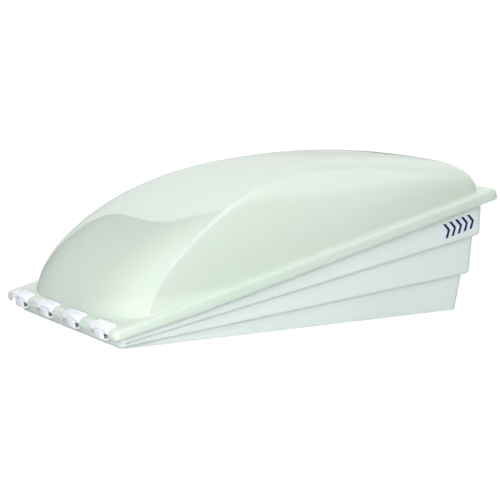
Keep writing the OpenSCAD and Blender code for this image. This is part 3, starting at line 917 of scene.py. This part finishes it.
def base_section():
    """The wall's cross-section: up the outside of the tiers, over the flange and down the inside."""
    corners = []
    for k in range(3):
        corners.append((plane_ring(k, TIER_FOOT[k]), LEDGE_FOOT_ROUND if k else ROOF_EDGE_ROUND))
        corners.append((plane_ring(k + 1, TIER_TOP[k]), LEDGE_TOP_ROUND))
    half, front, rear = TIER_TOP[2]
    corner_r = RIM_CORNER_R - WALL - SKIRT_GAP
    outer = (FLANGE_HALF_W, along_rim(FLANGE_FRONT_S), along_rim(FLANGE_REAR_S), corner_r)
    bore_front, bore_rear = along_rim(front + FLANGE_LIP), along_rim(rear - FLANGE_LIP)
    inner = (half - FLANGE_LIP, bore_front, bore_rear, TIER_CORNER_R - FLANGE_LIP)
    for outline, n in ((outer, FLANGE_LOW), (outer, FLANGE_TOP), (inner, FLANGE_TOP), (inner, FLANGE_LOW)):
        corners.append((flange_ring(outline, n), FLANGE_ROUND))
    for k in (2, 1, 0):
        corners.append((plane_ring(k + 1, TIER_TOP[k], WALL, 0.0 if k == 2 else WALL), INSIDE_ROUND))
        corners.append((plane_ring(k, TIER_FOOT[k], WALL, WALL if k else 0.0), INSIDE_ROUND))
    return corners


def base_mesh():
    section = round_section(base_section())
    verts = np.concatenate(section + [section[0]])
    faces = grid_faces(0, len(section) + 1, len(section[0]), closed=True)
    obj = make_object("base_moulding", verts, faces, S_TO_Y)
    tidy_mesh(obj, 2e-6)
    return obj


def bracket_places(face_x):
    """Places of the bracket bolts on both sides, local Z pointing out of the base."""
    places = []
    for side in (-1, 1):
        for s in BRACKET_S:
            places.append(shift(side * face_x, s - ORIGIN_S, BRACKET_BOLT_Z) @ turn(90 * side, "Y"))
    return places


def boss(place):
    """Boss inside the wall with a blind hole for its insert."""
    bore = BRACKET_INSERT_HOLE_R
    profile = [
        (bore, 8.0), (bore, 0.3), (bore + 0.35, 0.0), (BOSS_R - 0.6, 0.0), (BOSS_R, 0.6),
        (BOSS_R + 0.4, BOSS_L), (bore, BOSS_L),
    ]
    return lathe("boss", profile, 40, place)


def build_base():
    """The base with its louvre openings, latch insert holes and bracket bosses."""
    base = base_mesh()
    cutters = []
    for k, z in LOUVRE_PLACES.values():
        low = (-LOUVRE_W / 2, -12, -LOUVRE_H / 2)
        cutters.append(box("opening", low, (LOUVRE_W / 2, 12, LOUVRE_H / 2), wall_matrix(k, z)))
    for x in (-LATCH_X, LATCH_X):
        bore = [(INSERT_HOLE_R, -16), (INSERT_HOLE_R, 4)]
        cutters.append(lathe("hole", bore, 40, rim_matrix(x, LATCH_P, 0)))
    cut(base, cutters)
    cut(base, [boss(place) for place in bracket_places(BOSS_FACE_X)], "UNION")
    piece(base, "base", BASE_PLASTIC, "base_plastic", "base_shell", degrees=38.0)


# ---- fasteners ----

ON_AXIS = 0.02


def thread(radius, root, low, high, pitch):
    """Profile of plain thread grooves from low up to high."""
    points = []
    for z in np.arange(low, high, pitch):
        points += [(radius, z), (root, z + pitch / 2)]
    return points


def screw(head_r, head_h, shank_r, shank_l, thread_from):
    """Pan-head screw with a cross recess, its head standing on z = 0 and its shank below."""
    rim_h = head_h * 0.35
    shank = [(ON_AXIS, -shank_l), (shank_r * 0.5, 1.0 - shank_l)]
    shank += thread(shank_r, shank_r * 0.78, 1.6 - shank_l, -thread_from, 0.9)
    shank += [(shank_r, 0.2 - thread_from), (shank_r, -0.01)]
    head = [(head_r, 0.0), (head_r, rim_h)]
    for a in np.radians([25, 50, 70]):
        head.append((head_r * math.cos(a) ** 0.7, rim_h + (head_h - rim_h) * math.sin(a)))
    head.append((ON_AXIS, head_h))
    obj = lathe("screw", shank + head, 28)
    arm = head_r * 0.62
    width = head_r * 0.11
    cut(obj, [box("cross", (-x, -y, rim_h), (x, y, head_h + 1)) for x, y in ((arm, width), (width, arm))])
    return obj


def bolt():
    """Hexagon bolt through bracket and washer, with the corners of its head's face turned off."""
    shank = lathe("shank", [(ON_AXIS, 5.75), (BOLT_R, 5.3), (BOLT_R, -3.3), (ON_AXIS, -3.3)], 28)
    across = 8.0
    r = across / 2 / math.cos(math.pi / 6)
    angles = np.radians(np.arange(0, 360, 60))
    rings = []
    for radius, z in ((r, -3.2), (r, -5.8), (r * 0.9, -6.4)):
        rings.append([(radius * math.cos(a), radius * math.sin(a), z) for a in angles])
    return join([shank, stacked("head", rings)])


def wall_screw_place(k, z, x, out, rise, degrees):
    """Place of a screw in tier k's rear wall, its cross recess turned by the given angle."""
    return wall_matrix(k, z) @ shift(x, out, rise) @ turn(-90, "X") @ turn(degrees, "Z")


def wall_screws():
    """The louvres' and the tracks' screws, each with its recess at an angle of its own."""
    places = []
    for k, z in LOUVRE_PLACES.values():
        for i, x in enumerate(LOUVRE_SCREW_X):
            for j, rise in enumerate((-LOUVRE_SCREW_RISE, LOUVRE_SCREW_RISE)):
                places.append(wall_screw_place(k, z, x, LOUVRE_FACE, rise, 37 * (3 * j + 2 * i + k)))
    obj = copies("louvre_screw_set", screw(3.0, 1.8, 1.25, 10.6, 2.0), places)
    piece(obj, "base", STEEL, "steel", "louvre_screws")
    places = []
    for i, x in enumerate((-TRACK_SCREW_X, TRACK_SCREW_X)):
        for j, rise in enumerate((-TRACK_SCREW_RISE, TRACK_SCREW_RISE)):
            places.append(wall_screw_place(*LOUVRE_PLACES["lower"], x, 0.3, rise, 25 + 49 * i + 71 * j))
    obj = copies("track_screw_set", screw(3.2, 2.0, 1.55, 11.3, 4.0), places)
    piece(obj, "base", STEEL, "steel", "track_screws")


def bracket_fasteners():
    """Bolts, washers and inserts that hold the brackets to the bosses."""
    places = bracket_places(BOSS_FACE_X - 0.05)
    obj = copies("bracket_bolt_set", bolt(), places)
    piece(obj, "base", STEEL, "steel", "bracket_bolts")
    obj = copies("bracket_washer_set", washer(5.0, BOLT_R + 0.1, -3.1, -2.1), places)
    piece(obj, "base", STEEL, "steel", "bracket_washers")
    obj = copies("bracket_insert_set", washer(BRACKET_INSERT_R, BOLT_R + 0.05, 0.1, 7.1), places)
    piece(obj, "base", BRASS, "brass_insert", "bracket_inserts")


# ---- hinges ----


def pin_bore(y, z):
    """Cutter for the hinge pin's bore."""
    r = PIN_R + PIN_GAP
    return lathe("bore", [(r, -CLIP_W), (r, CLIP_W)], 28, shift(0, y, z) @ turn(90, "Y"))


def clip_upper():
    """Plate on the lid's flange with a raised ridge, a slit in front of it and a knuckle at each end."""
    front = HINGE_P - BARREL_R - 0.3
    step = HINGE_P + 6.4
    obj = strip([
        (front, -1.0), (step, -1.0), (step, 0.05), (CLIP_REAR, 0.05), (CLIP_REAR, CLIP_T),
        (front + 1.0, CLIP_T), (front, CLIP_T - 1.0),
    ], 0.0, CLIP_W, 0.5)
    ridge_p = CLIP_REAR - RIDGE_R
    ridge = [(p, max(n, 0.06)) for p, n in arc(ridge_p, CLIP_T - 0.2, RIDGE_R, -45, 225)]
    added = [strip(ridge, 0.0, CLIP_W - 10.0, 0.3)]
    knuckle = [(front, -0.4)] + arc(HINGE_P, HINGE_N, BARREL_R, 180, 360) + [(HINGE_P + 3.0, -0.4)]
    knuckle_w = (CLIP_W - BASE_KNUCKLE_W) / 2 - KNUCKLE_GAP
    for side in (-1, 1):
        added.append(strip(knuckle, side * (CLIP_W - knuckle_w) / 2, knuckle_w))
    cut(obj, added, "UNION")
    slit_p = ridge_p - RIDGE_R - 1.2
    slit_w = CLIP_W / 2 - 10.0
    slit = box("slit", (-slit_w, slit_p, CLIP_T - 0.8), (slit_w, slit_p + 1.2, CLIP_T + 1.2))
    cut(obj, [slit, pin_bore(HINGE_P, HINGE_N)])
    return obj


def clip_lower():
    """Middle knuckle, arm below the rim and pad on the base's front wall."""
    wall_s = TIER_FOOT[2][1] - 0.15
    pad_s = wall_s - 2.4
    pad_top = ARM_LOW + 14.5
    arm_top = ARM_LOW + 3.0
    obj = strip(arc(HINGE_S, HINGE_Z, BARREL_R, 0, 345), 0.0, BASE_KNUCKLE_W)
    arm = strip([
        (HINGE_S, ARM_LOW), (wall_s, ARM_LOW), (wall_s, pad_top), (pad_s, pad_top), (pad_s, arm_top),
        (HINGE_S + 1.4, arm_top), (HINGE_S + 0.6, arm_top + 2.0), (HINGE_S, HINGE_Z - 2.0),
        (HINGE_S - BARREL_R + 0.1, HINGE_Z), (HINGE_S - 2.2, arm_top),
    ], 0.0, BASE_KNUCKLE_W)
    cut(obj, [arm], "UNION")
    cut(obj, [pin_bore(HINGE_S, HINGE_Z)])
    return obj


def hinge_pin():
    """Plain pin with chamfered ends."""
    half = CLIP_W / 2
    bevel_l = 0.4
    tip_r = PIN_R - bevel_l
    side = [(PIN_R, bevel_l - half), (PIN_R, half - bevel_l)]
    return lathe("pin", [(ON_AXIS, -half), (tip_r, -half)] + side + [(tip_r, half), (ON_AXIS, half)], 28)


def hinges():
    for k, x in enumerate(CLIP_X, 1):
        upper = copies(f"clip_upper_{k}", clip_upper(), [rim_matrix(x, 0, 0)])
        piece(upper, "lid", CLIP_PLASTIC, "hinge_plastic", f"hinge_lid_leaf_{k}")
        lower = copies(f"clip_lower_{k}", clip_lower(), [shift(x, -ORIGIN_S, 0)])
        piece(lower, "base", CLIP_PLASTIC, "hinge_plastic", f"hinge_base_leaf_{k}")
    places = [rim_matrix(x, HINGE_P, HINGE_N) @ turn(90, "Y") for x in CLIP_X]
    piece(copies("hinge_pin_rods", hinge_pin(), places), "base", STEEL, "steel", "hinge_pins")


# ---- latches ----


def wing():
    """The knob's wing: a bar with round ends and rounded edges."""
    reach, r, low, high = 10.0, 2.2, 4.2, 14.1
    outline = arc(reach, 0.0, r, -90, 90, 14) + arc(-reach, 0.0, r, 90, 270, 14)
    obj = stacked("wing", [[(x, y, z) for x, y in outline] for z in (low, high)])
    bevel(obj, 0.9, 3, 40.0)
    return obj


def knob():
    """Wing knob: turned hub, two rounded wings and a threaded stud below."""
    stud = [(ON_AXIS, -14.0), (2.3, -14.0), (STUD_R, -13.2)]
    stud += thread(STUD_R - 0.02, 2.6, -13.0, -5.0, 1.0)
    stud += [(STUD_R, -4.6), (STUD_R, 1.2)]
    hub = [
        (7.2, 1.2), (8.0, 1.8), (8.0, 5.2), (7.4, 6.2), (6.8, 8.2), (6.2, 11.0), (5.2, 12.0), (3.0, 12.4),
        (ON_AXIS, 12.5),
    ]
    body = lathe("knob", stud + hub, 40)
    cut(body, [wing()], "UNION")
    return body


def latches():
    places = {"left": rim_matrix(-LATCH_X, LATCH_P, 0), "right": rim_matrix(LATCH_X, LATCH_P, 0)}
    for side, place in places.items():
        obj = copies(f"wing_knob_{side}", knob(), [place])
        piece(obj, f"knob_{side}", TRIM_PLASTIC, "white_trim", f"latch_knob_{side}")
        obj = copies(f"stud_retainer_{side}", washer(4.6, STUD_R + 0.02, -4.3, -3.3), [place])
        piece(obj, f"knob_{side}", STEEL, "steel", f"knob_retainer_{side}")
    obj = copies("rubber_washers", washer(7.0, STUD_R + 0.2, 0.05, 1.05), places.values())
    piece(obj, "lid", RUBBER, "seal_rubber", "knob_washers")
    obj = copies("brass_inserts", washer(INSERT_R, 3.45, INSERT_LOW, FLANGE_TOP, 0.4), places.values())
    piece(obj, "base", BRASS, "brass_insert", "latch_inserts")


# ---- insect screen and trim ----


def woven_wires(x0, x1, z0, z1, y):
    """Wires of a woven pane as (points, side direction): they pass over and under one another."""
    columns = int((x1 - x0) / WIRE_PITCH)
    rows = int((z1 - z0) / WIRE_PITCH)
    xs = np.linspace(x0, x1, columns + 1)
    zs = np.linspace(z0, z1, rows + 1)
    sway = WIRE_HALF * 1.1
    wires = []
    for i in range(1, columns):
        points = [(xs[i], y + (-1) ** (i + j) * sway, zs[j]) for j in range(rows + 1)]
        wires.append((points, np.array([1, 0, 0])))
    for j in range(1, rows):
        points = [(xs[i], y - (-1) ** (i + j) * sway, zs[j]) for i in range(columns + 1)]
        wires.append((points, np.array([0, 0, -1])))
    return wires


def woven_mesh(name, wires):
    """Square strands along all the wires."""
    verts, faces = [], []
    outwards = np.array([0, 1, 0])
    for points, across in wires:
        start = len(verts)
        for point in points:
            for i, j in ((-1, -1), (1, -1), (1, 1), (-1, 1)):
                verts.append(point + across * WIRE_HALF * i + outwards * WIRE_HALF * j)
        faces += grid_faces(start, len(points), 4, closed=True)
        faces += [list(range(start, start + 4))[::-1], list(range(len(verts) - 4, len(verts)))]
    return make_object(name, verts, faces)


def screen():
    """The screen's frame, and a woven pane on each side of its middle bar."""
    obj = softened("screen_frame", "screen_surround", 0.8)
    piece(obj, "insect_screen", TRIM_PLASTIC, "white_trim", "screen_frame")
    low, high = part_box("screen_mesh")
    wires = []
    for side in (-1, 1):
        x0, x1 = sorted((side * SCREEN_BAR_HALF_W, side * high.x / MM))
        wires += woven_wires(x0, x1, low.z / MM, high.z / MM, (low.y + high.y) / 2 / MM)
    piece(woven_mesh("woven_insect_mesh", wires), "insect_screen", FIBRE, "mesh_fibre", "screen_mesh")


def trim():
    """Pieces that keep the CAD shape and gain rounded edges, and the decals' print."""
    for place in LOUVRE_PLACES:
        obj = softened(f"louvre_panel_{place}", f"louvre_{place}", 0.35)
        piece(obj, "base", TRIM_PLASTIC, "white_trim", f"louvre_panel_{place}")
    obj = softened("screen_tracks", "screen_guides", 0.8)
    piece(obj, "base", TRIM_PLASTIC, "white_trim", "screen_tracks")
    for place in ("front_left", "front_right", "rear_left", "rear_right"):
        obj = softened(f"mount_bracket_{place}", f"angle_bracket_{place}", 0.5)
        piece(obj, "base", ALUMINIUM, "aluminium", f"mount_bracket_{place}")
    obj = softened("rim_gasket", "foam_gasket", 0.7)
    piece(obj, "base", FOAM, "seal_foam", "rim_gasket")
    for side in ("left", "right"):
        decal = frame["nodes"][f"side_decal_{side}"]
        decal.data.materials.clear()
        decal.data.materials.append(FILM)


# ---- stage: metres and watts from here on ----

CAMERA_AT = (2.67986, -1.60609, 0.57996)
CAMERA_AZIMUTH = 59.13
CAMERA_ELEVATION = 8.36
CAMERA_LENS = 111.05
CAMERA_SENSOR = 36.0
FLOOR_HALF_W = 30.0
# The backdrop seen in reflections: where it starts behind the object, and its strength, which goes from
# the third value at the first height to the fourth at the second
BACKDROP_EDGE = 0.12
BACKDROP_BLUR = 0.005
BACKDROP_FADE = (0.1, 0.42, 1.0, 1.5)
ROOM_LIGHT = 0.2
# Soft light from all round, from the left side's strength to the right side's
SOFT_LIGHT = (0.38, 0.72)
# Area lights: [place, target, size, watts]
LIGHTS = {
    "overhead": [(0.0, 0.6, 2.2), (0.0, 0.1, 0.1), (1.8, 1.6), 9.0],
    "side": [(1.5, -1.7, 0.5), (0.1, -0.2, 0.1), (1.0, 0.7), 26.0],
    "rear_fill": [(-1.5, 1.7, 0.9), (0.0, 0.1, 0.1), (1.2, 1.0), 16.0],
    "crease": [(1.45, -0.93, 1.95), (0.2, -0.25, 0.15), (0.6, 0.6), 11.0],
}


def floor():
    """Pale floor just below the object, almost white to the camera."""
    w = FLOOR_HALF_W / MM
    obj = make_object("floor", [(-w, -w, -1), (w, -w, -1), (w, w, -1), (-w, w, -1)], [(0, 1, 2, 3)])
    m = Material("pale_floor")
    m.set(Base_Color=m.blend(m.noise(1.5), grey(0.6), grey(0.57)), Roughness=0.7)
    glow = m.add("ShaderNodeEmission", Color=WHITE, Strength=1.08).outputs[0]
    m.show(m.mix(m.math("MULTIPLY", m.is_ray("Camera"), 0.96), m.bsdf.outputs[0], glow))
    obj.data.materials.append(m.mat)


def area_light(name, place, target, size, watts):
    light = bpy.data.lights.new(name, "AREA")
    light.shape = "RECTANGLE"
    light.size, light.size_y = size
    light.energy = watts
    obj = add_object(name, light)
    obj.location = place
    direction = Vector(target) - Vector(place)
    obj.rotation_euler = direction.to_track_quat("-Z", "Y").to_euler()
    return obj


def background(nodes, colour, strength):
    return nodes.add("ShaderNodeBackground", Color=colour, Strength=strength).outputs[0]


def world():
    """White to the camera; in reflections a bright backdrop behind the object and a dim room in front."""
    studio = bpy.data.worlds.new("studio")
    bpy.context.scene.world = studio
    studio.use_nodes = True
    studio.node_tree.nodes.clear()
    n = Nodes(studio.node_tree)
    direction = n.split(n.add("ShaderNodeTexCoord").outputs["Generated"])
    behind = n.ramp(direction["Y"], BACKDROP_EDGE - BACKDROP_BLUR, BACKDROP_EDGE + BACKDROP_BLUR)
    not_right = n.ramp(direction["X"], 0.6, 0.1)
    room = background(n, (0.9, 0.97, 0.95, 1.0), ROOM_LIGHT)
    backdrop = background(n, WHITE, n.span(direction["Z"], *BACKDROP_FADE))
    mirrored = n.mix(n.math("MULTIPLY", behind, not_right), room, backdrop)
    from_right = n.ramp(direction["X"], -1.0, 1.0)
    soft = background(n, (0.95, 0.98, 1.0, 1.0), n.span(from_right, 0.0, 1.0, *SOFT_LIGHT))
    unseen = n.mix(n.is_ray("Glossy"), soft, mirrored)
    n.add("ShaderNodeOutputWorld", Surface=n.mix(n.is_ray("Camera"), unseen, background(n, WHITE, 1.05)))


def camera():
    data = bpy.data.cameras.new("camera")
    data.lens = CAMERA_LENS
    data.sensor_width = CAMERA_SENSOR
    obj = add_object("camera", data)
    obj.location = CAMERA_AT
    obj.rotation_euler = (math.radians(90 - CAMERA_ELEVATION), 0, math.radians(CAMERA_AZIMUTH))
    bpy.context.scene.camera = obj


def stage():
    floor()
    world()
    lights = {name: area_light(name, *settings) for name, settings in LIGHTS.items()}
    # Its mirror image would turn the crown white
    lights["rear_fill"].visible_glossy = False
    camera()
    bpy.context.scene.view_settings.view_transform = "Standard"


build_lid()
build_base()
hinges()
latches()
wall_screws()
bracket_fasteners()
trim()
screen()
stage()
